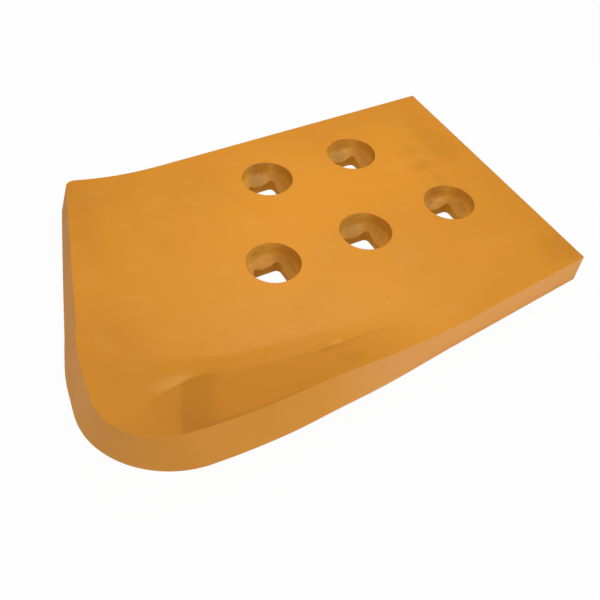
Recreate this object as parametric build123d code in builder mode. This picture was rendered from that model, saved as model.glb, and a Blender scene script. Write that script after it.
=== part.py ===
"""End bit for the outer corner of a dozer blade: one curled steel plate with five plow bolt holes.

Millimetres. The origin is on the back face, in the middle of the group of five bolt holes.
+X runs along the bolt rows to the inner end, +Y up the blade to the top edge, and +Z out of the
front face, the side that meets the soil and takes the bolt heads.
"""

import os
from math import ceil, cos, pi, radians, sin, sqrt, tan

from build123d import *

os.makedirs("parts", exist_ok=True)

# Plate, with its outline measured on the front face before the plate is curled
plate_thickness = 25.0
inner_end_x = 141.5
top_edge_y = 95.0
top_corner_radius = 10.0
outer_edge_top_x = -194.0
outer_edge_lean_deg = 16.75
cutting_edge_inner_y = -142.8
cutting_edge_lean_deg = 5.7
toe_front_radius = 31.0
toe_back_radius = 42.0

# Curl of the outer third towards the front
curl_start_x = -115.5
curl_radius = 286.0

# Lip along the outer cutting edge, turned up from the face
lip_angle_deg = 28.0
lip_peak_x = -134.0
lip_inner_reach = 150.0
lip_outer_reach = 373.0
lip_knee_y = -126.5
lip_knee_lean = 0.11
lip_bend_reach = 16.0
lip_bend_spread = 85.0
lip_tip_y = -209.0

# Plow bolt holes: a round seat for the head, a cone below it and a square neck
hole_pitch = 82.0
row_spacing = 88.0
head_radius = 21.0
head_depth = 8.0
seat_cone_deg = 80.0
neck_width = 24.0
neck_corner_radius = 4.0

# How finely the curled shapes are followed, and how far blanks and walls run past the finished size
section_pitch = 14.0
wall_pitch = 8.0
straight_tolerance = 0.01
blank_margin = 20.0
wall_margin = 5.0
cone_overlap = 0.5


def curl_angle(station):
    """Angle of the curled face at a distance along the flat pattern."""
    return max(0.0, curl_start_x - station) / curl_radius


def lip_angle(station):
    """Angle of the lip, largest near the toe and fading out to both sides."""
    offset = station - lip_peak_x
    reach = lip_inner_reach if offset > 0 else lip_outer_reach
    if abs(offset) >= reach:
        return 0.0
    return radians(lip_angle_deg) * cos(pi / 2 * offset / reach) ** 2


def lip_knee(station):
    """Height on the blade at which the lip turns up."""
    return lip_knee_y - lip_knee_lean * (station - lip_peak_x)


def lip_bend(station):
    """How far above its knee the lip starts to bend, tight at the peak and softer to the outside."""
    return lip_bend_reach * (1 + (max(0.0, lip_peak_x - station) / lip_bend_spread) ** 2)


def lip_rise(station, y):
    """How far the front of the lip stands out of the face, and its slope there."""
    knee = lip_knee(station)
    bend = lip_bend(station)
    drop = knee + bend - y
    if drop <= 0:
        return 0.0, 0.0
    span = knee - lip_tip_y
    share = drop / (bend + sqrt(bend**2 + (span - bend) * drop))
    height = span * tan(lip_angle(station))
    slope = share * height / ((1 - share) * bend + share * span)
    return share * share * height, slope


def face_point(station, rise):
    """Position along the plate and height above the back, for a point that rises from the face."""
    angle = curl_angle(station)
    centre_x = max(station, curl_start_x)
    return centre_x - (curl_radius - rise) * sin(angle), (
        plate_thickness + curl_radius - (curl_radius - rise) * cos(angle)
    )


def wall_point(station, y, level):
    """Where the side wall that stands square on the front face crosses a level."""
    angle = curl_angle(station)
    rise, slope = lip_rise(station, y)
    x, z = face_point(station, rise)
    travel = (level - z) / cos(angle)
    return Vector(x + travel * sin(angle), y + travel * slope)


def plate_section(station, upper_y):
    """Section square to the curled face, from upper_y down to the tip of the lip."""
    angle = curl_angle(station)
    x, z = face_point(station, 0.0)
    lip = lip_angle(station)
    knee = lip_knee(station)
    bend_start = knee + lip_bend(station)
    tip_rise = (knee - lip_tip_y) * tan(lip)
    back_knee = knee - plate_thickness * tan(lip / 2)
    back_tip = (lip_tip_y - plate_thickness * sin(lip), tip_rise - plate_thickness * cos(lip))
    across = Plane(origin=(x, 0, z), x_dir=(0, 1, 0), z_dir=(cos(angle), 0, -sin(angle)))
    with BuildSketch(across) as section:
        with BuildLine():
            Line((upper_y, 0), (bend_start, 0))
            Bezier((bend_start, 0), (knee, 0), (lip_tip_y, tip_rise))
            Line((lip_tip_y, tip_rise), back_tip)
            Bezier(back_tip, (back_knee, -plate_thickness), (bend_start, -plate_thickness))
            Line((bend_start, -plate_thickness), (upper_y, -plate_thickness))
            Line((upper_y, -plate_thickness), (upper_y, 0))
        make_face()
    return section.sketch


def stations_between(first, last, pitch):
    """Evenly spread distances along the flat pattern, both ends included."""
    steps = ceil(abs(last - first) / pitch) + 2
    return [first + (last - first) * step / steps for step in range(steps + 1)]


# Corners of the flat pattern
outer_lean = tan(radians(outer_edge_lean_deg))
cutting_lean = tan(radians(cutting_edge_lean_deg))
corner_drop = top_edge_y - cutting_edge_inner_y + (inner_end_x - outer_edge_top_x) * cutting_lean
toe_y = top_edge_y - corner_drop / (1 - outer_lean * cutting_lean)
toe_x = outer_edge_top_x - (top_edge_y - toe_y) * outer_lean
lip_inner_x = lip_peak_x + lip_inner_reach
lip_inner_edge_y = cutting_edge_inner_y - (inner_end_x - lip_inner_x) * cutting_lean

# Extents of the blanks and of the walls
blank_top_y = top_edge_y + blank_margin
blank_inner_x = inner_end_x + blank_margin
blank_outer_x = toe_x - blank_margin
lip_top_y = lip_knee(blank_outer_x) + lip_bend(blank_outer_x) + wall_margin

# Flat part of the blank, above the lip and inboard of it
with BuildPart() as flat_blank:
    with BuildSketch(Plane.XY):
        with BuildLine():
            Polyline(
                (curl_start_x, blank_top_y),
                (blank_inner_x, blank_top_y),
                (blank_inner_x, lip_tip_y),
                (lip_inner_x, lip_tip_y),
                (lip_inner_x, lip_top_y),
                (curl_start_x, lip_top_y),
                close=True,
            )
        make_face()
    extrude(amount=plate_thickness)

# Lip below the flat part, fading out towards the inner end
with BuildPart() as flat_lip:
    lip_stations = stations_between(lip_inner_x, curl_start_x, section_pitch)
    loft([plate_section(station, lip_top_y) for station in lip_stations])

# Curled outer third with its part of the lip
with BuildPart() as curled_blank:
    curl_stations = stations_between(curl_start_x, blank_outer_x, section_pitch)
    loft([plate_section(station, blank_top_y) for station in curl_stations])


def flat_pattern(toe_radius):
    """Edges of the plate's outline before the curl, with the toe rounded by a radius."""
    with BuildSketch() as pattern:
        with BuildLine():
            Polyline(
                (inner_end_x, top_edge_y),
                (outer_edge_top_x, top_edge_y),
                (toe_x, toe_y),
                (lip_inner_x, lip_inner_edge_y),
                (inner_end_x, cutting_edge_inner_y),
                close=True,
            )
        make_face()
        fillet(pattern.vertices().sort_by_distance((toe_x, toe_y))[0], toe_radius)
        top_corner = pattern.vertices().sort_by_distance((outer_edge_top_x, top_edge_y))[0]
        fillet(top_corner, top_corner_radius)
    return pattern.wire().order_edges()


def pattern_points(edge):
    """Points along one edge of the flat pattern."""
    return [edge.position_at(run / edge.length) for run in stations_between(0, edge.length, wall_pitch)]


# Levels that the walls are drawn between: just over the highest rim and below the back
rim_heights = [
    face_point(point.X, lip_rise(point.X, point.Y)[0])[1]
    for edge in flat_pattern(toe_front_radius)
    for point in pattern_points(edge)
]
toe_level = max(rim_heights)
upper_level = toe_level + wall_margin
lower_level = -wall_margin


def wall_outline(level):
    """The flat pattern's outline carried to a level along the walls."""
    toe_growth = (toe_back_radius - toe_front_radius) / plate_thickness
    edges = flat_pattern(toe_front_radius + (toe_level - level) * toe_growth)
    with BuildSketch(Plane.XY.offset(level)) as outline:
        with BuildLine():
            for edge in edges:
                points = [wall_point(point.X, point.Y, level) for point in pattern_points(edge)]
                chord = points[-1] - points[0]
                bow = max((point - points[0]).cross(chord).length / chord.length for point in points)
                if bow < straight_tolerance:
                    Line(points[0], points[-1])
                else:
                    Spline(*points)
        make_face()
    return outline.sketch


with BuildPart() as trim:
    loft([wall_outline(lower_level), wall_outline(upper_level)], ruled=True)

hole_centres = [
    (-hole_pitch, -row_spacing / 2),
    (0, -row_spacing / 2),
    (hole_pitch, -row_spacing / 2),
    (-hole_pitch / 2, row_spacing / 2),
    (hole_pitch / 2, row_spacing / 2),
]
cone_depth = (head_radius - neck_width / 2) / tan(radians(seat_cone_deg / 2)) + cone_overlap

with BuildPart() as end_bit:
    add(flat_blank.part)
    add(flat_lip.part)
    add(curled_blank.part)
    add(trim.part, mode=Mode.INTERSECT)

    with BuildSketch(Plane.XY.offset(plate_thickness)):
        with Locations(*hole_centres):
            Circle(head_radius)
    extrude(amount=-head_depth, mode=Mode.SUBTRACT)
    with BuildSketch(Plane.XY.offset(plate_thickness - head_depth)):
        with Locations(*hole_centres):
            Circle(head_radius)
    extrude(amount=-cone_depth, taper=seat_cone_deg / 2, mode=Mode.SUBTRACT)
    with BuildSketch(Plane.XY):
        with Locations(*hole_centres):
            RectangleRounded(neck_width, neck_width, neck_corner_radius)
    extrude(amount=plate_thickness, mode=Mode.SUBTRACT)

end_bit.part.label = "end_bit"
export_step(end_bit.part, "parts/end_bit.step")
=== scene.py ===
# %% [markdown]
# # A dozer end bit in enamelled steel
# The object is one heavy plate that bolts to the outer corner of a dozer blade. It is flat
# where the bolts go, curls forward towards its outer end, and has a lip turned up along the
# outer cutting edge. The solid comes from the imported frame, in metres, with its origin on
# the back face in the middle of the bolt holes. This file dresses that solid: it rounds the
# sharp rims a little, sprays it with orange enamel, scuffs the bolt seats, paints light and
# shade into the seats, the lip and the crease, paints a sheen of the white floor on the cut
# edges, and lights it.

from math import radians, tan

import bmesh
import bpy
from mathutils import Matrix, Vector


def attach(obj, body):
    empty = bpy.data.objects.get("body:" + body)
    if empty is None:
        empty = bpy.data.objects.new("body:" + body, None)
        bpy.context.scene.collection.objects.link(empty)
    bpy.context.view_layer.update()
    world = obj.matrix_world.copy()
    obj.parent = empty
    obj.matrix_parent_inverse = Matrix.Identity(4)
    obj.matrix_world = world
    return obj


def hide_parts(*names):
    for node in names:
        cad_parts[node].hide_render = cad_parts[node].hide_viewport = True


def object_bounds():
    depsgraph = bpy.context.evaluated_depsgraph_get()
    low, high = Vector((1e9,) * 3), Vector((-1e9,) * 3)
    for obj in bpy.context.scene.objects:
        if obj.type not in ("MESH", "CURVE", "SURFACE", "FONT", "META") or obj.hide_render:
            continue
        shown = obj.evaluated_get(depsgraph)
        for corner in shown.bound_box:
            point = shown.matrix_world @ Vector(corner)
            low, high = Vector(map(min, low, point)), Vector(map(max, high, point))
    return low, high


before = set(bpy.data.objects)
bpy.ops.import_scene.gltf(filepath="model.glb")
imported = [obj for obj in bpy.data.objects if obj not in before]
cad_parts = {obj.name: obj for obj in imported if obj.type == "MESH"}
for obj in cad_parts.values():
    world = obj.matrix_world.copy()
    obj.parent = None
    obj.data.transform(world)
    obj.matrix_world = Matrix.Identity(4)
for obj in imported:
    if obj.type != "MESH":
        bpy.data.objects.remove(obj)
cad_low, cad_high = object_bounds()
print("plate size in mm:", [round(1000 * side) for side in cad_high - cad_low])

# %% [markdown]
# ## The camera
# The plate is looked at from in front, below and to the left, from about 0.6 m. Three
# directions say how the camera is turned: its right, its up and the way back from the
# object. A view matrix takes them as columns, and the last column is the camera's place.
# Aiming at a point would be simpler, but this camera also leans a little to one side, and
# the three directions hold that too.

# %% Camera
plate_middle = Vector((-0.03, -0.02, 0.02))
camera_right = Vector((0.8692, -0.4888, 0.0748))
camera_up = Vector((0.3218, 0.6739, 0.6651))
camera_back = Vector((-0.3755, -0.5540, 0.7430))
camera_place = Vector((-0.3002, -0.4063, 0.4551))

camera_data = bpy.data.cameras.new("view")
camera_data.lens = 48.3
camera_data.sensor_width = 36.0
camera_data.clip_start = 0.01
camera = bpy.data.objects.new("view", camera_data)
bpy.context.collection.objects.link(camera)
turn = Matrix((camera_right, camera_up, camera_back)).transposed().to_4x4()
camera.matrix_world = Matrix.Translation(camera_place) @ turn
bpy.context.scene.camera = camera
print("camera", round((camera_place - plate_middle).length, 2), "m from the plate's middle")

# %% [markdown]
# ## The plate with its rims broken
# A flame-cut and pressed plate never has razor edges: its rims are rubbed to about a
# millimetre, and that thin round catches the light. The solid's own mesh has sharp rims,
# so a copy of it is merged into one skin and its rims get a small bevel. Merging comes
# first, because loose triangles have no shared edges to bevel. Only the edges that get a
# weight are bevelled. The foot of a seat's round wall gets none and is shaded smooth, so
# that the wall flows into the cone below it, as in a seat that a bolt head has worn in.
# The edges are picked by their angle, and not by hand, so that they follow the solid.

# %% Sizes of the plate
rim_round = 0.0011
rim_angle = radians(32)
rim_steps = 3
merge_distance = 0.000002
foot_slack = 0.0003
curl_start = -0.1155
curl_radius = 0.286
face_height = 0.025
curl_axis_height = face_height + curl_radius
bolt_pitch = 0.082
half_pitch = bolt_pitch / 2
row_gap = 0.088
half_gap = row_gap / 2
seat_radius = 0.0210
seat_floor = 0.0170
neck_half = 0.0120
neck_corner = 0.0040
bolt_axes = [
    (-bolt_pitch, -half_gap, 0.0),
    (0.0, -half_gap, 0.0),
    (bolt_pitch, -half_gap, 0.0),
    (-half_pitch, half_gap, 0.0),
    (half_pitch, half_gap, 0.0),
]
print("bolt holes:", len(bolt_axes))


# %% A merged copy of the plate
def at_seat_foot(point):
    """Whether a point lies where a seat's round wall meets its cone."""
    nearest = min((point.xy - Vector(axis).xy).length for axis in bolt_axes)
    on_floor = abs(point.z - seat_floor) < foot_slack
    return on_floor and abs(nearest - seat_radius) < foot_slack


def is_rim(edge):
    """Whether an edge is sharp enough to be rounded, and isn't the foot of a seat's wall."""
    is_foot = all(at_seat_foot(end.co) for end in edge.verts)
    return edge.calc_face_angle(0.0) > rim_angle and not is_foot


def merged_copy(node_name, piece_name):
    """Copy a solid's mesh, join its loose triangles, weigh its rims and put it in a new object."""
    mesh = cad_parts[node_name].data.copy()
    mesh.name = piece_name
    skin = bmesh.new()
    skin.from_mesh(mesh)
    bmesh.ops.remove_doubles(skin, verts=skin.verts, dist=merge_distance)
    bmesh.ops.recalc_face_normals(skin, faces=skin.faces)
    weight = skin.edges.layers.float.new("bevel_weight_edge")
    for edge in skin.edges:
        if is_rim(edge):
            edge[weight] = 1.0
    skin.to_mesh(mesh)
    skin.free()
    piece = bpy.data.objects.new(piece_name, mesh)
    bpy.context.collection.objects.link(piece)
    return piece


plate = merged_copy("end_bit", "pressed_plate")
print("faces before the bevel:", len(plate.data.polygons))

# %% [markdown]
# ## Which way the sides look
# The front was pressed and handled, while the walls round it are cut faces, a little duller,
# with a painted sheen that stands for the reflection of the white floor. The finish has to
# tell them apart, so three attributes are stored on the mesh: one for the front, and one
# each for how far a wall looks down to the cutting edge or out past the outer edge. A face
# belongs to the front when it looks towards the curl's axis. A wall's direction is averaged
# round each of its corners, so that the colour turns smoothly round the toe instead of
# showing the triangles. Masks painted by hand would do as well, but these are worked out
# from the faces, so they stay true to the solid.

# %% Attributes for the front and the walls
wall_limit = 0.7
same_wall = 0.75
front_side = plate.data.attributes.new("front_side", "FLOAT", "FACE")
cut_side = plate.data.attributes.new("cut_side", "FLOAT", "CORNER")
outer_side = plate.data.attributes.new("outer_side", "FLOAT", "CORNER")
walls_around = {}
for face in plate.data.polygons:
    face.use_smooth = True
    past_curl_start = max(curl_start - face.center.x, 0.0)
    to_axis = Vector((past_curl_start, 0.0, curl_axis_height - face.center.z)).normalized()
    facing = face.normal.dot(to_axis)
    front_side.data[face.index].value = 1.0 if facing > wall_limit else 0.0
    if abs(facing) < wall_limit:
        for corner, vertex in zip(face.loop_indices, face.vertices):
            walls_around.setdefault(vertex, []).append((corner, face.normal.copy(), face.area))
for walls in walls_around.values():
    for corner, normal, _ in walls:
        alike = (other * area for _, other, area in walls if other.dot(normal) > same_wall)
        looks_to = sum(alike, Vector()).normalized()
        cut_side.data[corner].value = max(0.0, -looks_to.y)
        outer_side.data[corner].value = max(0.0, -looks_to.x)
print("corners of wall faces:", sum(len(walls) for walls in walls_around.values()))

# %% [markdown]
# ## Rounding and shading
# A Bevel modifier rounds the weighed rims. A Weighted Normal modifier then lets the large
# faces decide the shading, so the flat face stays flat right up to the round. As modifiers
# they leave the mesh simple, and the width is easy to change. The finished piece stands in
# for the solid, which is hidden, and later gets a copy of the solid's material.

# %% Round the rims
large_face_pull = 80
rim_bevel = plate.modifiers.new("broken rims", "BEVEL")
rim_bevel.width = rim_round
rim_bevel.segments = rim_steps
rim_bevel.limit_method = "WEIGHT"
rim_bevel.harden_normals = False
rim_bevel.use_clamp_overlap = True

even_shading = plate.modifiers.new("even shading", "WEIGHTED_NORMAL")
even_shading.keep_sharp = True
even_shading.weight = large_face_pull

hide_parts("end_bit")
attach(plate, "root")
print("modifiers:", [modifier.name for modifier in plate.modifiers])

# %% [markdown]
# ## Small tools for node materials
# A material is a net of nodes. These helpers add a node, join two sockets and start a
# reusable group, so each finish below reads as a short list of steps. A group is the same
# idea as a function: it takes values in, gives values out, and can be used many times.


# %% Node helpers
def add_node(tree, kind, label="", **settings):
    """Add a shader node with its settings."""
    node = tree.nodes.new(kind)
    node.label = label
    for name, value in settings.items():
        setattr(node, name, value)
    return node


def feed(tree, socket, value):
    """Give a socket a plain value or another node's output."""
    if isinstance(value, bpy.types.NodeSocket):
        tree.links.new(value, socket)
    else:
        socket.default_value = value


def math_node(tree, operation, *values, label="", clamp=False):
    """Add a Math node and return its output."""
    node = add_node(tree, "ShaderNodeMath", label, operation=operation, use_clamp=clamp)
    for socket, value in zip(node.inputs, values):
        feed(tree, socket, value)
    return node.outputs[0]


def plus(tree, first, second, label="", clamp=False):
    """Add two values."""
    return math_node(tree, "ADD", first, second, label=label, clamp=clamp)


def minus(tree, first, second, label=""):
    """Subtract the second value from the first."""
    return math_node(tree, "SUBTRACT", first, second, label=label)


def times(tree, first, second, label=""):
    """Multiply two values."""
    return math_node(tree, "MULTIPLY", first, second, label=label)


def larger(tree, first, second, label=""):
    """Take the larger of two values."""
    return math_node(tree, "MAXIMUM", first, second, label=label)


single_value = ("LENGTH", "DISTANCE", "DOT_PRODUCT")


def vector_node(tree, operation, *values):
    """Add a Vector Math node and return the output it fills."""
    node = add_node(tree, "ShaderNodeVectorMath", operation=operation)
    for socket, value in zip(node.inputs, values):
        feed(tree, socket, value)
    return node.outputs["Value" if operation in single_value else "Vector"]


def split(tree, vector, label=""):
    """Split a vector and return its X, Y and Z."""
    node = add_node(tree, "ShaderNodeSeparateXYZ", label)
    feed(tree, node.inputs[0], vector)
    return node.outputs["X"], node.outputs["Y"], node.outputs["Z"]


def ramp_node(tree, value, low, high, to_low=0.0, to_high=1.0, label=""):
    """Turn a range of values into another, with soft ends."""
    node = add_node(tree, "ShaderNodeMapRange", label, clamp=True)
    node.interpolation_type = "SMOOTHSTEP"
    feed(tree, node.inputs["Value"], value)
    node.inputs["From Min"].default_value = low
    node.inputs["From Max"].default_value = high
    node.inputs["To Min"].default_value = to_low
    node.inputs["To Max"].default_value = to_high
    return node.outputs["Result"]


def fall_node(tree, value, low, high, label=""):
    """Make a mask that is full below a range and empty above it."""
    return ramp_node(tree, value, low, high, 1.0, 0.0, label=label)


def noise_node(tree, vector, scale, detail=3.0, roughness=0.55, label=""):
    """Add a Noise texture and return its grey output."""
    node = add_node(tree, "ShaderNodeTexNoise", label)
    feed(tree, node.inputs["Vector"], vector)
    node.inputs["Scale"].default_value = scale
    node.inputs["Detail"].default_value = detail
    node.inputs["Roughness"].default_value = roughness
    return node.outputs["Fac"]


def mix_colour(tree, share, first, second, label=""):
    """Mix two colours by a share from 0 to 1."""
    node = add_node(tree, "ShaderNodeMix", label, data_type="RGBA", clamp_factor=True)
    feed(tree, node.inputs[0], share)
    feed(tree, node.inputs[6], first)
    feed(tree, node.inputs[7], second)
    return node.outputs[2]


spot_core = 0.25


def spot(tree, place, centre, reach, strength):
    """Make a soft oval mask around a point, with a small core of its full strength."""
    offset = vector_node(tree, "SUBTRACT", place, (centre[0], centre[1], 0.0))
    scaled = vector_node(tree, "MULTIPLY", offset, (1.0 / reach[0], 1.0 / reach[1], 0.0))
    mask = fall_node(tree, vector_node(tree, "LENGTH", scaled), spot_core, 1.0)
    return times(tree, mask, strength)


def start_group(name, takes, gives):
    """Start a reusable group from lists of (name, socket type) for its inputs and outputs."""
    group = bpy.data.node_groups.new(name, "ShaderNodeTree")
    for socket_name, kind in takes:
        group.interface.new_socket(socket_name, in_out="INPUT", socket_type=kind)
    for socket_name, kind in gives:
        group.interface.new_socket(socket_name, in_out="OUTPUT", socket_type=kind)
    return group, group.nodes.new("NodeGroupInput"), group.nodes.new("NodeGroupOutput")


def use_group(tree, group, **values):
    """Place a group in a material and feed its inputs by name."""
    node = add_node(tree, "ShaderNodeGroup", group.name, node_tree=group)
    for name, value in values.items():
        feed(tree, node.inputs[name], value)
    return node


vector_kind = "NodeSocketVector"
value_kind = "NodeSocketFloat"
colour_kind = "NodeSocketColor"

# %% [markdown]
# ## Where the bolts go
# The seats are darker and rubbed, so the finish has to know how far a point lies from the
# nearest bolt. The group takes a position on the plate, measures its distance from each of
# the five bolt axes and from the rounded square round each, and keeps the least. It also
# tells how far a point lies to the right of its bolt, since the two sides of a seat are
# worn differently. A painted map would blur at the rims, and a distance stays exact.

# %% Group: distance from the nearest bolt
bolt_group, group_in, group_out = start_group(
    "nearest bolt",
    [("Position", vector_kind)],
    [("Round", value_kind), ("Past Neck", value_kind), ("Sideways", value_kind)],
)
straight_half = neck_half - neck_corner
across_plate = vector_node(bolt_group, "MULTIPLY", group_in.outputs["Position"], (1.0, 1.0, 0.0))
round_distance = None
neck_distance = None
for axis in bolt_axes:
    offset = vector_node(bolt_group, "SUBTRACT", across_plate, axis)
    from_axis = vector_node(bolt_group, "LENGTH", offset)
    unsigned = vector_node(bolt_group, "ABSOLUTE", offset)
    past_straight = vector_node(bolt_group, "SUBTRACT", unsigned, (straight_half, straight_half, 0.0))
    past_straight = vector_node(bolt_group, "MAXIMUM", past_straight, (0.0, 0.0, 0.0))
    past_neck = minus(bolt_group, vector_node(bolt_group, "LENGTH", past_straight), neck_corner)
    if round_distance is None:
        round_distance, neck_distance = from_axis, past_neck
    else:
        round_distance = math_node(bolt_group, "MINIMUM", round_distance, from_axis)
        neck_distance = math_node(bolt_group, "MINIMUM", neck_distance, past_neck)
feed(bolt_group, group_out.inputs["Round"], round_distance)
feed(bolt_group, group_out.inputs["Past Neck"], neck_distance)

across, up, _ = split(bolt_group, group_in.outputs["Position"])
upper_row = math_node(bolt_group, "GREATER_THAN", up, 0.0)
shifted = math_node(bolt_group, "MULTIPLY_ADD", upper_row, half_pitch, across)
sideways = math_node(bolt_group, "WRAP", shifted, half_pitch, -half_pitch, label="sideways of the bolt")
feed(bolt_group, group_out.inputs["Sideways"], sideways)
print("group", bolt_group.name, "has", len(bolt_group.nodes), "nodes")

# %% [markdown]
# ## A map of the curled plate
# The outer third of the plate is rolled on a cylinder, so marks are easiest to place on
# the flat pattern, the plate as it was before it was rolled. A stored map could hold that,
# but a cylinder needs only a little geometry. The group unrolls a position: it finds the
# angle around the curl's axis and turns it back into a length along the plate. It also
# tells how far a point lies in front of the face.

# %% Group: place on the flat pattern
unroll_group, group_in, group_out = start_group(
    "flat pattern",
    [("Position", vector_kind)],
    [("Flat", vector_kind), ("Along", value_kind), ("Front", value_kind)],
)
across, up, height = split(unroll_group, group_in.outputs["Position"])
past_start = larger(unroll_group, minus(unroll_group, curl_start, across), 0.0)
below_axis = minus(unroll_group, curl_axis_height, height)
curl_turn = math_node(unroll_group, "ARCTAN2", past_start, below_axis, label="angle around the curl")
curled_length = times(unroll_group, curl_turn, curl_radius)
along = minus(unroll_group, larger(unroll_group, across, curl_start), curled_length)
squares = plus(
    unroll_group,
    times(unroll_group, past_start, past_start),
    times(unroll_group, below_axis, below_axis),
)
in_front = minus(unroll_group, curl_radius, math_node(unroll_group, "SQRT", squares))
flat_place = add_node(unroll_group, "ShaderNodeCombineXYZ")
feed(unroll_group, flat_place.inputs["X"], along)
feed(unroll_group, flat_place.inputs["Y"], up)
feed(unroll_group, group_out.inputs["Flat"], flat_place.outputs[0])
feed(unroll_group, group_out.inputs["Along"], along)
feed(unroll_group, group_out.inputs["Front"], in_front)
print("group", unroll_group.name, "has", len(unroll_group.nodes), "nodes")

# %% [markdown]
# ## Marks of the pressing, with painted shade
# The press left a crease where the lip turns up. Below it the colour is darkened with
# painted shade, where the lip turns away from the light, deepest in a patch near the toe
# with one straight border, and a band of painted shade lies in the bend above the crease.
# Just above the crease the coat is rubbed pale in places, with a painted highlight along
# the crease's edge near the toe. A line of painted shade follows the crease, and dirt sits
# in its inner end and along the cutting rim. They could be painted on an image, but an
# image blurs close up. Here each mark has a place on the flat pattern, in metres from the
# origin, and a stretch over which it fades.

# %% The line of the crease
crease_points = [
    (-0.260, -0.1600),
    (-0.246, -0.1555),
    (-0.2295, -0.1450),
    (-0.210, -0.1335),
    (-0.196, -0.1280),
    (-0.1765, -0.1225),
    (-0.169, -0.1250),
    (-0.160, -0.1272),
    (-0.150, -0.1284),
    (-0.138, -0.1286),
    (-0.126, -0.1298),
    (-0.119, -0.1308),
    (-0.108, -0.1322),
    (-0.096, -0.1333),
    (-0.0815, -0.1338),
    (-0.066, -0.1330),
    (-0.050, -0.1333),
    (-0.041, -0.1343),
    (-0.030, -0.1362),
    (-0.0105, -0.1383),
    (0.020, -0.1410),
]
curve_left, curve_right = crease_points[0][0], crease_points[-1][0]
curve_low, curve_high = -0.170, -0.110
print("points along the crease:", len(crease_points))

# %% Where each mark comes and goes
lip_inner_fade = (-0.080, -0.012)
lip_outer_fade = (-0.245, -0.215)
bend_outer_fade = (-0.184, -0.172)
bend_inner_fade = (-0.110, -0.060)
crease_shade_fade = (-0.120, -0.094)
rim_outer_fade = (-0.220, -0.200)
rim_inner_fade = (-0.110, -0.020)

# The patch near the toe is painted shade on the lip.
shade_patch_lean = 0.62
shade_patch_zero = 0.197 - 0.1295 * shade_patch_lean
shade_patch_border = (-0.0016, 0.0020)
shade_patch_fade = (0.012, 0.034)

cutting_slope = tan(radians(5.7))
cutting_edge_zero = -0.1428 - 0.1415 * cutting_slope
rim_dirt_width = (0.0014, 0.0028)

bend_top, bend_foot = (-0.024, -0.014), (-0.001, 0.003)
pale_top, pale_foot = (-0.0170, -0.0030), (-0.0006, 0.0008)
line_top, line_foot = (-0.0008, 0.0008), (0.0012, 0.0050)
lip_top = (-0.0012, 0.0016)
shade_patch_top = (-0.001, 0.002)
print("rubbing reaches", round(-1000 * pale_top[0]), "mm above the crease")

# %% Spots and how strong each mark is
thin_spots = [
    ((0.090, 0.026), (0.014, 0.012), 0.13),
    ((0.088, 0.004), (0.016, 0.010), 0.16),
    ((0.092, -0.018), (0.010, 0.016), 0.10),
    ((0.118, 0.030), (0.022, 0.050), 0.14),
    ((0.137, -0.125), (0.030, 0.026), 0.16),
    ((-0.196, 0.060), (0.020, 0.060), 0.08),
    ((-0.082, -0.150), (0.012, 0.009), 0.10),
]
dirt_spots = [
    ((-0.0895, -0.1360), (0.0065, 0.0024), 0.18),
    ((-0.2500, -0.0890), (0.0014, 0.0018), 0.22),
    ((-0.1893, -0.1425), (0.0013, 0.0012), 0.30),
]
# Painted shade over the toe.
toe_shade = ((-0.215, -0.172), (0.060, 0.026), 0.07)
# A painted highlight along the crease's upper edge near the toe.
toe_highlight = ((-0.201, -0.127), (0.027, 0.017), 0.90)
inner_rub = ((-0.0810, -0.1318), (0.0090, 0.0034), 0.55)
long_rub = ((-0.130, -0.124), (0.045, 0.020), 0.12)
# Strengths of the painted shade on the lip, on the patch near the toe and in the bend.
lip_shade_strength = 0.14
shade_patch_strength = 0.20
bend_shade_strength = 0.07
pale_least, pale_change = 0.45, 0.20
# Painted shade along the crease, and dirt along the rim.
crease_shade_strength = 0.15
rim_dirt_strength = 0.17
print("thin spots:", len(thin_spots), "and spots of dirt:", len(dirt_spots))

# %% [markdown]
# ### How far below the crease
# A curve node holds the crease's height for each place along the plate, and everything
# else is measured from it. A little noise shakes the positions first, so that no border is
# even: far for soft patches, and only slightly for lines.

# %% Group: marks of the pressing and painted shade
border_noise_scale = 90.0
patch_shake = (0.024, 0.014, 0.0)
line_shake = (0.003, 0.003, 0.0)

marks, group_in, group_out = start_group(
    "pressing marks and painted shade",
    [("Flat", vector_kind), ("Front", value_kind)],
    [("Shade And Thin Coat", value_kind), ("Pale And Highlight", value_kind), ("Dark", value_kind)],
)
flat = group_in.outputs["Flat"]
shake = add_node(marks, "ShaderNodeTexNoise", "ragged borders")
feed(marks, shake.inputs["Vector"], flat)
shake.inputs["Scale"].default_value = border_noise_scale
shake.inputs["Detail"].default_value = 4.0
centred = vector_node(marks, "SUBTRACT", shake.outputs["Color"], (0.5, 0.5, 0.5))
patch_place = vector_node(marks, "ADD", flat, vector_node(marks, "MULTIPLY", centred, patch_shake))
line_place = vector_node(marks, "ADD", flat, vector_node(marks, "MULTIPLY", centred, line_shake))
along, up, _ = split(marks, line_place, "place beside a line")

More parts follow.
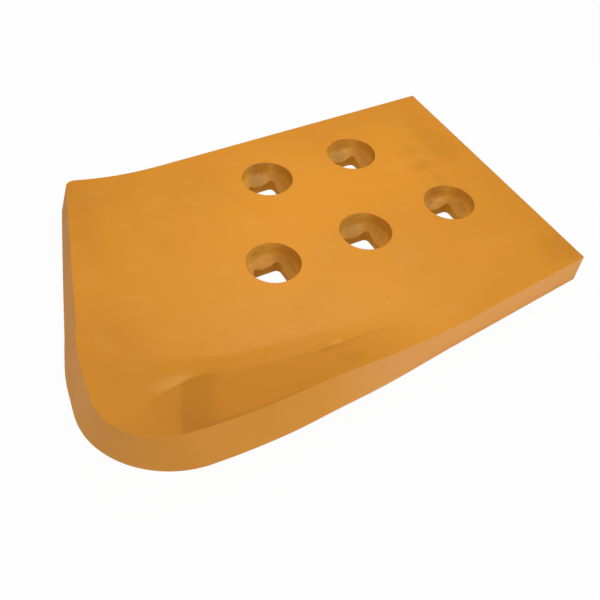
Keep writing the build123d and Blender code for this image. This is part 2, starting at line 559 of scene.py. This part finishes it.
# %% The curve of the crease
curve_place = add_node(marks, "ShaderNodeMapRange", "place on the curve", clamp=True)
feed(marks, curve_place.inputs["Value"], along)
curve_place.inputs["From Min"].default_value = curve_left
curve_place.inputs["From Max"].default_value = curve_right
crease_curve = add_node(marks, "ShaderNodeFloatCurve", "crease")
feed(marks, crease_curve.inputs["Value"], curve_place.outputs["Result"])
curve = crease_curve.mapping.curves[0]
scaled_points = [
    ((x - curve_left) / (curve_right - curve_left), (y - curve_low) / (curve_high - curve_low))
    for x, y in crease_points
]
curve.points[0].location = scaled_points[0]
curve.points[1].location = scaled_points[-1]
for point in scaled_points[1:-1]:
    curve.points.new(*point)
crease_curve.mapping.update()
over_low = times(marks, crease_curve.outputs["Value"], curve_high - curve_low)
crease_up = plus(marks, over_low, curve_low, label="crease height")
below = minus(marks, crease_up, up, label="how far below the crease")
on_face = ramp_node(marks, group_in.outputs["Front"], -0.0030, -0.0010, label="not in a hole")
print("points on the curve:", len(curve.points))

# %% Painted shade under the crease and in the bend, and thin coat
lip_inner = fall_node(marks, along, *lip_inner_fade)
lip_outer = ramp_node(marks, along, *lip_outer_fade, 0.35, 1.0)
lip_length = times(marks, lip_inner, lip_outer)
under_crease = times(marks, ramp_node(marks, below, *lip_top), lip_length)
bend_height = times(marks, ramp_node(marks, below, *bend_top), fall_node(marks, below, *bend_foot))
bend_outer = ramp_node(marks, along, *bend_outer_fade)
bend_length = times(marks, bend_outer, fall_node(marks, along, *bend_inner_fade))
leaning = math_node(marks, "MULTIPLY_ADD", up, -shade_patch_lean, shade_patch_zero)
past_border = plus(marks, along, leaning, label="past the shade patch's border")
shade_patch_start = ramp_node(marks, past_border, *shade_patch_border)
shade_patch_length = times(marks, shade_patch_start, fall_node(marks, past_border, *shade_patch_fade))
shade_patch = times(marks, shade_patch_length, ramp_node(marks, below, *shade_patch_top))

# Painted shade: the lip below the crease, the patch, the toe and the bend above the crease are darkened
# where they turn away from the light. The thin spots are thin coat.
shade_and_thin = times(marks, under_crease, lip_shade_strength)
shade_and_thin = plus(marks, shade_and_thin, times(marks, shade_patch, shade_patch_strength))
shade_and_thin = plus(marks, shade_and_thin, spot(marks, patch_place, *toe_shade))
shade_and_thin = plus(marks, shade_and_thin, times(marks, times(marks, bend_height, bend_length), bend_shade_strength))
for thin_spot in thin_spots:
    shade_and_thin = plus(marks, shade_and_thin, spot(marks, patch_place, *thin_spot))
feed(marks, group_out.inputs["Shade And Thin Coat"], times(marks, shade_and_thin, on_face))
print("nodes for the painted shade and thin coat:", len(marks.nodes))

# %% Rubbed pale above the crease, with a painted highlight near the toe
rub_noise = noise_node(marks, flat, 260.0, detail=3.0, label="broken rubbing")
broken = ramp_node(marks, rub_noise, 0.42, 0.60)
above_crease = times(marks, ramp_node(marks, below, *pale_top), fall_node(marks, below, *pale_foot))
# The spot near the toe is a painted highlight; the inner and the long spot are rubbing.
pale_places = plus(marks, spot(marks, patch_place, *toe_highlight), spot(marks, line_place, *inner_rub))
pale_places = plus(marks, pale_places, spot(marks, patch_place, *long_rub))
pale_strength = plus(marks, times(marks, broken, pale_change), pale_least)
pale_and_highlight = times(marks, times(marks, above_crease, pale_places), pale_strength)
feed(marks, group_out.inputs["Pale And Highlight"], times(marks, pale_and_highlight, on_face))
print("nodes with the rubbing:", len(marks.nodes))

# %% Painted shade along the crease, and dirt in its end and along the rim
# The dark line along the crease is painted shade; the spots and the rim line are dirt.
crease_line = times(marks, ramp_node(marks, below, *line_top), fall_node(marks, below, *line_foot))
broken_line = ramp_node(marks, rub_noise, 0.40, 0.58, 0.25, 1.0)
crease_shade_length = ramp_node(marks, along, *crease_shade_fade, 0.10, 1.0)
crease_shade = times(marks, crease_line, lip_length)
crease_shade = times(marks, crease_shade, times(marks, broken_line, crease_shade_length))
dark = times(marks, crease_shade, crease_shade_strength)
for dirt_spot in dirt_spots:
    dark = plus(marks, dark, spot(marks, line_place, *dirt_spot))
rim_up = math_node(marks, "MULTIPLY_ADD", along, cutting_slope, cutting_edge_zero)
above_rim = minus(marks, up, rim_up, label="above the rim")
rim_line = fall_node(marks, above_rim, *rim_dirt_width)
rim_line = times(marks, rim_line, ramp_node(marks, along, *rim_outer_fade))
rim_line = times(marks, rim_line, fall_node(marks, along, *rim_inner_fade))
dark = plus(marks, dark, times(marks, rim_line, rim_dirt_strength))
feed(marks, group_out.inputs["Dark"], times(marks, dark, on_face))
print("group", marks.name, "has", len(marks.nodes), "nodes")

# %% [markdown]
# ## Orange enamel on pressed steel
# The plate is sprayed with one thick coat of orange-yellow enamel. Close up it isn't one
# colour: the coat is a little browner where it lies thin or dusty, paler where it was
# rubbed, and the steel below it is slightly wavy from the rolling and pressing. A picture
# of paint would repeat itself. Noise textures of different sizes give the clouds,
# blotches, grit, waves and orange peel without an end.

# %% Group: enamel with dust and rubbing
enamel_orange = (0.758, 0.300, 0.029, 1.0)
enamel_brown = (0.520, 0.190, 0.017, 1.0)
enamel_pale = (0.830, 0.370, 0.066, 1.0)
most_thin, most_rubbed, most_grit = 0.22, 0.16, 0.25
glossy, satin = 0.42, 0.54
peel_height, ripple_height = 0.10, 0.9

enamel_group, group_in, group_out = start_group(
    "sprayed enamel",
    [("Position", vector_kind)],
    [("Color", colour_kind), ("Roughness", value_kind), ("Height", value_kind)],
)
position = group_in.outputs["Position"]
clouds = noise_node(enamel_group, position, 9.0, detail=2.0, label="slow clouds in the coat")
blotches = noise_node(enamel_group, position, 34.0, detail=4.0, roughness=0.6, label="blotches")
specks = noise_node(enamel_group, position, 420.0, detail=2.0, label="grit under the coat")
ripple = noise_node(enamel_group, position, 60.0, detail=1.0, label="rolled waves")
orange_peel = noise_node(enamel_group, position, 700.0, detail=1.0, label="orange peel")

cloud_share = ramp_node(enamel_group, clouds, 0.40, 0.70, 0.0, most_thin)
colour = mix_colour(enamel_group, cloud_share, enamel_orange, enamel_brown, label="thin coat")
blotch_share = ramp_node(enamel_group, blotches, 0.52, 0.72, 0.0, most_rubbed)
colour = mix_colour(enamel_group, blotch_share, colour, enamel_pale, label="rubbed coat")
grit_share = ramp_node(enamel_group, specks, 0.66, 0.74, 0.0, most_grit)
colour = mix_colour(enamel_group, grit_share, colour, enamel_brown, label="grit")
feed(enamel_group, group_out.inputs["Color"], colour)

coat_gloss = ramp_node(enamel_group, blotches, 0.30, 0.75, glossy, satin)
feed(enamel_group, group_out.inputs["Roughness"], coat_gloss)
fine_height = times(enamel_group, orange_peel, peel_height)
wave_height = times(enamel_group, ripple, ripple_height)
feed(enamel_group, group_out.inputs["Height"], plus(enamel_group, fine_height, wave_height))
print("group", enamel_group.name, "has", len(enamel_group.nodes), "nodes")

# %% The painted steel material
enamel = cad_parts["end_bit"].data.materials[0].copy()
enamel.name = "orange_enamel"
enamel.use_nodes = True
tree = enamel.node_tree
tree.nodes.clear()
surface = add_node(tree, "ShaderNodeBsdfPrincipled", "enamel")
material_out = add_node(tree, "ShaderNodeOutputMaterial")
feed(tree, material_out.inputs["Surface"], surface.outputs["BSDF"])
surface.inputs["Metallic"].default_value = 0.0
surface.inputs["Specular IOR Level"].default_value = 0.16
surface.inputs["IOR"].default_value = 1.5

place = add_node(tree, "ShaderNodeTexCoord", "place on the plate").outputs["Object"]
_, _, over_back = split(tree, place, "height over the back face")
bolt = use_group(tree, bolt_group, Position=place)
coat = use_group(tree, enamel_group, Position=place)
unrolled = use_group(tree, unroll_group, Position=place)
pressed = use_group(tree, marks, Flat=unrolled.outputs["Flat"], Front=unrolled.outputs["Front"])
along = unrolled.outputs["Along"]
sideways = bolt.outputs["Sideways"]
front_mask, cut_mask, outer_mask = [
    add_node(tree, "ShaderNodeAttribute", name, attribute_name=name).outputs["Fac"]
    for name in ("front_side", "cut_side", "outer_side")
]

# %% [markdown]
# ## Cut edges with a painted sheen, and marks
# The wall of the cutting edge and the outer wall near the toe were cut after the rolling.
# A pink sheen is painted on them as the reflection of the white floor, most of all on the
# cutting edge towards the inner end. A second material would end at a hard line, so the
# mesh's attributes mix the colours. The marks of the pressing, with the painted shade and
# highlight, lie over the coat, on the front alone.

# %% Colours of the edges and marks
# The pink of the cut edges is a painted reflection of the white floor.
edge_sheen_pink = (0.830, 0.398, 0.118, 1.0)
# Painted shade and thin coat.
shade_and_thin_brown = (0.330, 0.105, 0.008, 1.0)
# Rubbing, with a painted highlight near the toe.
rubbed_and_highlight_pale = (0.880, 0.430, 0.110, 1.0)
# Painted shade along the crease, and dirt.
dirt_and_crease_shade = (0.270, 0.090, 0.008, 1.0)
cut_pinking, cut_pink = (-0.130, -0.045), (0.12, 0.68)
outer_pinking, outer_pink = (-0.190, -0.170), (0.32, 0.0)

# Painted reflection of the white floor on the cut walls.
cut_share = times(tree, cut_mask, ramp_node(tree, along, *cut_pinking, *cut_pink))
outer_share = times(tree, outer_mask, ramp_node(tree, along, *outer_pinking, *outer_pink))
edge_sheen_share = plus(tree, cut_share, outer_share, clamp=True)
colour = mix_colour(tree, edge_sheen_share, coat.outputs["Color"], edge_sheen_pink, label="cut edge")
# Over the coat go painted shade, a painted highlight, thin coat, rubbing and dirt.
for output, tint in (("Shade And Thin Coat", shade_and_thin_brown), ("Pale And Highlight", rubbed_and_highlight_pale), ("Dark", dirt_and_crease_shade)):
    share = times(tree, pressed.outputs[output], front_mask)
    colour = mix_colour(tree, share, colour, tint, label=output.lower())
print("nodes for the coat and its marks:", len(tree.nodes))

# %% [markdown]
# ## Seats with painted light and shade, and rubbed cones
# Three masks split a hole into its parts: the short round wall of the seat, the cone that
# the bolt head sits on, and the square neck. Each mask is a smooth step on a distance, so
# it has a soft border as sprayed paint has, and noise makes the border below the round
# wall ragged. The round wall is mustard where it faces the light, and takes painted shade
# where it turns away and on the far wall of each seat. The cones show a greyish tan with
# darker scuffs, a painted highlight on their lit side and painted shade on their far side.

# %% Masks of a hole's parts
mouth_height = (0.0238, 0.0244)
mouth_radius = (seat_radius, seat_radius + 0.0006)
neck_border = (0.0001, 0.0005)
cone_border = (seat_floor - 0.0042, seat_floor - 0.0018)
ragged_height = 0.006

below_face = fall_node(tree, over_back, *mouth_height, label="below the face")
near_axis = fall_node(tree, bolt.outputs["Round"], *mouth_radius, label="inside a seat")
in_hole = times(tree, below_face, near_axis, label="in a hole")
worn = noise_node(tree, place, 230.0, detail=3.0, label="ragged wear")
rough_height = math_node(tree, "MULTIPLY_ADD", worn, ragged_height, -ragged_height / 2)
rough_height = plus(tree, rough_height, over_back)
under_wall = fall_node(tree, rough_height, *cone_border, label="under the round wall")
out_of_neck = ramp_node(tree, bolt.outputs["Past Neck"], *neck_border, label="outside the neck")
on_cone = times(tree, times(tree, in_hole, under_wall), out_of_neck, label="cone")
in_neck = times(tree, minus(tree, 1.0, out_of_neck), in_hole)
print("a seat is", round(2000 * seat_radius), "mm across")

# %% Colours of the walls and cones
seat_mustard = (0.790, 0.410, 0.050, 1.0)
# Painted shade on the round wall.
seat_wall_shade = (0.600, 0.255, 0.020, 1.0)
cone_tan = (0.700, 0.350, 0.075, 1.0)
cone_lit = (0.820, 0.420, 0.092, 1.0)
cone_shade = (0.545, 0.238, 0.034, 1.0)
# Painted shade on the far side of the cone.
cone_far_shade = (0.430, 0.182, 0.021, 1.0)
wall_shade_border = (0.005, 0.019)
lit_border = (-0.010, 0.001)
shade_border, most_shade = (0.004, 0.013), 0.90
far_shade_border = (0.013, 0.0185)
# A spot of painted shade on the far wall of each seat.
wall_shade_right, wall_shade_up = 0.004, 0.020
wall_shade_reach = (0.014, 0.010)
wall_shading = (0.0, 0.35, 0.80, 1.00, 0.65)

# Painted shade on the round wall turned away from the light, and on the far wall of each seat.
wall_shade_share = ramp_node(tree, sideways, *wall_shade_border, label="wall turned away")
for (x, y, _), strength in zip(bolt_axes, wall_shading):
    wall_shade_place = (x + wall_shade_right, y + wall_shade_up)
    wall_shade_spot = spot(tree, place, wall_shade_place, wall_shade_reach, strength)
    wall_shade_share = larger(tree, wall_shade_share, wall_shade_spot)
wall_colour = mix_colour(tree, wall_shade_share, seat_mustard, seat_wall_shade, label="round wall")
# A painted highlight on the cone's lit side, and painted shade towards its far side.
lit_share = ramp_node(tree, sideways, *lit_border)
cone_colour = mix_colour(tree, lit_share, cone_tan, cone_lit, label="lit cone")
shade_share = ramp_node(tree, sideways, *shade_border, 0.0, most_shade)
cone_colour = mix_colour(tree, shade_share, cone_colour, cone_shade, label="side in painted shade")
far_shade_share = ramp_node(tree, sideways, *far_shade_border)
cone_colour = mix_colour(tree, far_shade_share, cone_colour, cone_far_shade, label="far side")
colour = mix_colour(tree, in_hole, colour, wall_colour, label="seat wall with painted shade")
colour = mix_colour(tree, on_cone, colour, cone_colour, label="rubbed cone")
print("walls with a spot of painted shade:", sum(strength > 0.0 for strength in wall_shading))

# %% Scuffs of the bolt heads
neck_brown = (0.660, 0.325, 0.024, 1.0)
scuff_grey = (0.300, 0.185, 0.080, 1.0)
scuff_stretch = (85.0, 120.0, 330.0)
scuff_border, scuff_ends = (-0.002, 0.014), (0.60, 0.35)
worn_right, worn_up = -0.001, 0.0155
worn_reach = (0.0125, 0.0070)
head_wear = (0.08, 0.42, 0.10, 0.50, 0.42)

stretched = vector_node(tree, "MULTIPLY", place, scuff_stretch)
scuffs = noise_node(tree, stretched, 1.0, detail=5.0, roughness=0.62, label="scuffs of the bolt heads")
scuff_side = ramp_node(tree, sideways, *scuff_border, *scuff_ends)
scuff_share = times(tree, ramp_node(tree, scuffs, 0.46, 0.72), scuff_side)
for (x, y, _), strength in zip(bolt_axes, head_wear):
    worn_place = (x + worn_right, y + worn_up)
    worn_spot = spot(tree, place, worn_place, worn_reach, strength)
    scuff_share = larger(tree, scuff_share, worn_spot)
scuff_share = times(tree, scuff_share, in_hole)
colour = mix_colour(tree, scuff_share, colour, scuff_grey, label="dark scuffs")
colour = mix_colour(tree, in_neck, colour, neck_brown, label="neck")
feed(tree, surface.inputs["Base Color"], colour)
print("scuff of the most worn cone:", max(head_wear))

# %% Gloss and relief
hole_dulling = 0.15
wall_dulling = 0.12
off_front = minus(tree, 1.0, front_mask)
hole_dull = times(tree, in_hole, hole_dulling)
wall_dull = times(tree, off_front, wall_dulling)
duller = larger(tree, hole_dull, wall_dull, label="duller off the face")
feed(tree, surface.inputs["Roughness"], plus(tree, coat.outputs["Roughness"], duller))
relief = add_node(tree, "ShaderNodeBump", "coat relief")
relief.inputs["Strength"].default_value = 0.25
relief.inputs["Distance"].default_value = 0.0004
feed(tree, relief.inputs["Height"], coat.outputs["Height"])
feed(tree, surface.inputs["Normal"], relief.outputs["Normal"])

plate.data.materials.clear()
plate.data.materials.append(enamel)
print("material", enamel.name, "has", len(tree.nodes), "nodes")

# %% [markdown]
# ## Floor and backdrop
# The plate lies on its flat back on a plain white floor. One large square does for both
# the floor and the backdrop. A curved backdrop isn't needed, because the camera sees the
# floor almost as white as the room behind it. Reflections show it half as bright. It
# keeps a trace of the plate's soft shadow, and bounces white light back onto the edges.

# %% Floor
floor_size = 6.0
floor_drop = 0.0005
plain_white = 0.97
mirrored_white = 0.5
floor_white = (0.80, 0.80, 0.80, 1.0)
floor_bmesh = bmesh.new()
bmesh.ops.create_grid(floor_bmesh, x_segments=1, y_segments=1, size=floor_size / 2)
bmesh.ops.translate(floor_bmesh, verts=floor_bmesh.verts, vec=(0.0, 0.0, cad_low.z - floor_drop))
floor_mesh = bpy.data.meshes.new("floor")
floor_bmesh.to_mesh(floor_mesh)
floor_bmesh.free()
floor = bpy.data.objects.new("floor", floor_mesh)
bpy.context.collection.objects.link(floor)

floor_material = bpy.data.materials.new("white_floor")
floor_material.use_nodes = True
tree = floor_material.node_tree
tree.nodes.clear()
floor_out = add_node(tree, "ShaderNodeOutputMaterial")
matte = add_node(tree, "ShaderNodeBsdfDiffuse", "matte floor")
matte.inputs["Color"].default_value = floor_white
glow = add_node(tree, "ShaderNodeEmission", "white to the camera")
glow.inputs["Strength"].default_value = 1.0
light_path = add_node(tree, "ShaderNodeLightPath")
mirrored = times(tree, light_path.outputs["Is Glossy Ray"], mirrored_white)
seen = larger(tree, light_path.outputs["Is Camera Ray"], mirrored)
seen = larger(tree, seen, light_path.outputs["Is Transmission Ray"])
floor_mix = add_node(tree, "ShaderNodeMixShader")
feed(tree, floor_mix.inputs[0], times(tree, seen, plain_white, label="how much is plain white"))
feed(tree, floor_mix.inputs[1], matte.outputs[0])
feed(tree, floor_mix.inputs[2], glow.outputs[0])
feed(tree, floor_out.inputs["Surface"], floor_mix.outputs[0])
floor_mesh.materials.append(floor_material)
print("floor side in m:", floor_size)

# %% [markdown]
# ## Light
# The plate is lit softly from above and a little from the camera's side, as on a bench
# under a ceiling panel. The panel hangs low enough that the middle of the plate is
# brighter than its ends. The white room around it fills the shadows, and shows as plain
# white to the camera.


# %% Lamps
def add_panel(name, place, size, power):
    """Hang a square light panel that faces the middle of the plate."""
    lamp_data = bpy.data.lights.new(name, "AREA")
    lamp_data.shape = "SQUARE"
    lamp_data.size = size
    lamp_data.energy = power
    lamp = bpy.data.objects.new(name, lamp_data)
    bpy.context.collection.objects.link(lamp)
    lamp_turn = (plate_middle - Vector(place)).to_track_quat("-Z", "Y").to_matrix().to_4x4()
    lamp.matrix_world = Matrix.Translation(Vector(place)) @ lamp_turn


add_panel("near_ceiling", (0.045, 0.05, 0.57), 0.25, 2.05)
add_panel("high_ceiling", (0.0, -0.10, 0.90), 0.40, 1.2)
add_panel("front_panel", (0.16, -0.92, 0.20), 0.60, 4.3)
add_panel("outer_panel", (-0.90, -0.10, 0.45), 0.50, 2.45)
print("lamps:", len(bpy.data.lights))

# %% The white room
room_white = (1.0, 1.0, 1.0, 1.0)
room_strength = 0.06
world = bpy.data.worlds.new("white room")
bpy.context.scene.world = world
world.use_nodes = True
room = world.node_tree
room.nodes.clear()
room_out = add_node(room, "ShaderNodeOutputWorld")
room_light = add_node(room, "ShaderNodeBackground", "light of the room")
room_light.inputs["Color"].default_value = room_white
room_light.inputs["Strength"].default_value = room_strength
room_seen = add_node(room, "ShaderNodeBackground", "white to the camera")
room_seen.inputs["Color"].default_value = room_white
room_seen.inputs["Strength"].default_value = 1.0
room_path = add_node(room, "ShaderNodeLightPath")
room_mix = add_node(room, "ShaderNodeMixShader")
shown = larger(room, room_path.outputs["Is Camera Ray"], room_path.outputs["Is Transmission Ray"])
feed(room, room_mix.inputs[0], shown)
feed(room, room_mix.inputs[1], room_light.outputs[0])
feed(room, room_mix.inputs[2], room_seen.outputs[0])
feed(room, room_out.inputs["Surface"], room_mix.outputs[0])

bpy.context.scene.view_settings.view_transform = "Standard"
print("world", world.name, "has", len(room.nodes), "nodes")

# %% Update the scene
bpy.context.view_layer.update()
